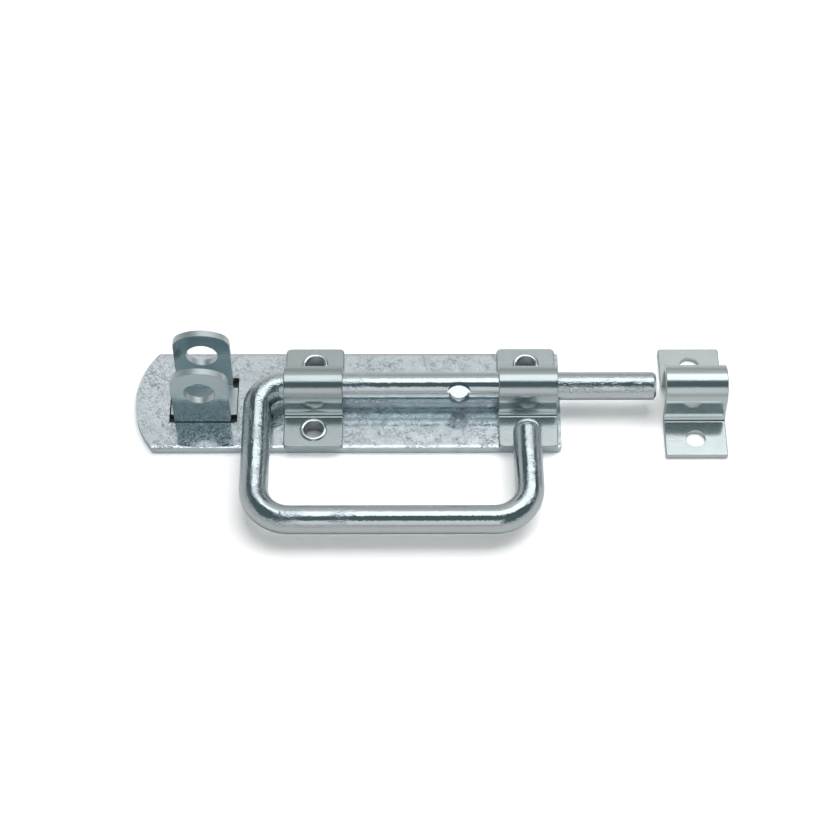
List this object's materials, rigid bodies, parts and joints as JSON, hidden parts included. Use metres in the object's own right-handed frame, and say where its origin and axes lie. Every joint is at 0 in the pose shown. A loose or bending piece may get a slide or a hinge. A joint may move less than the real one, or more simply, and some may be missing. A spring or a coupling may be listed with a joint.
{
  "type": "sliding bolt",
  "caption": "Zinc-plated steel sliding bolt: a round bar bent into a bow handle runs in riveted guide straps on a flat plate with a padlock staple, beside its separate keeper.",
  "frame": {"origin": "middle of the base plate's back face, the face that is screwed to the door", "axes": "+X along the rod towards the keeper, +Y away from the handle's rest side, +Z out of the plate"},
  "size_m": [0.201, 0.0798, 0.0302],
  "materials": {
    "plate": "satin zinc plating, slightly crackled",
    "staple": "satin zinc plating",
    "strap": "satin zinc plating",
    "rivet": "bright zinc plating",
    "bar": "bright zinc plating",
    "keeper": "satin zinc plating"
  },
  "bodies": {
    "plate": {"base_plate": "plate", "padlock_staple": "staple", "guide_strap_left": "strap", "guide_strap_right": "strap", "rivet_left_front": "rivet", "rivet_left_back": "rivet", "rivet_right_front": "rivet", "rivet_right_back": "rivet", "keeper": "keeper"},
    "bar": {"bolt_bar": "bar"}
  },
  "joints": [
    {"name": "handle_turn", "type": "hinge", "parent": "plate", "child": "bar", "pos_m": [0, 0, 0.01086], "axis": [-1, 0, 0], "range_deg": [0, 184]}
  ]
}
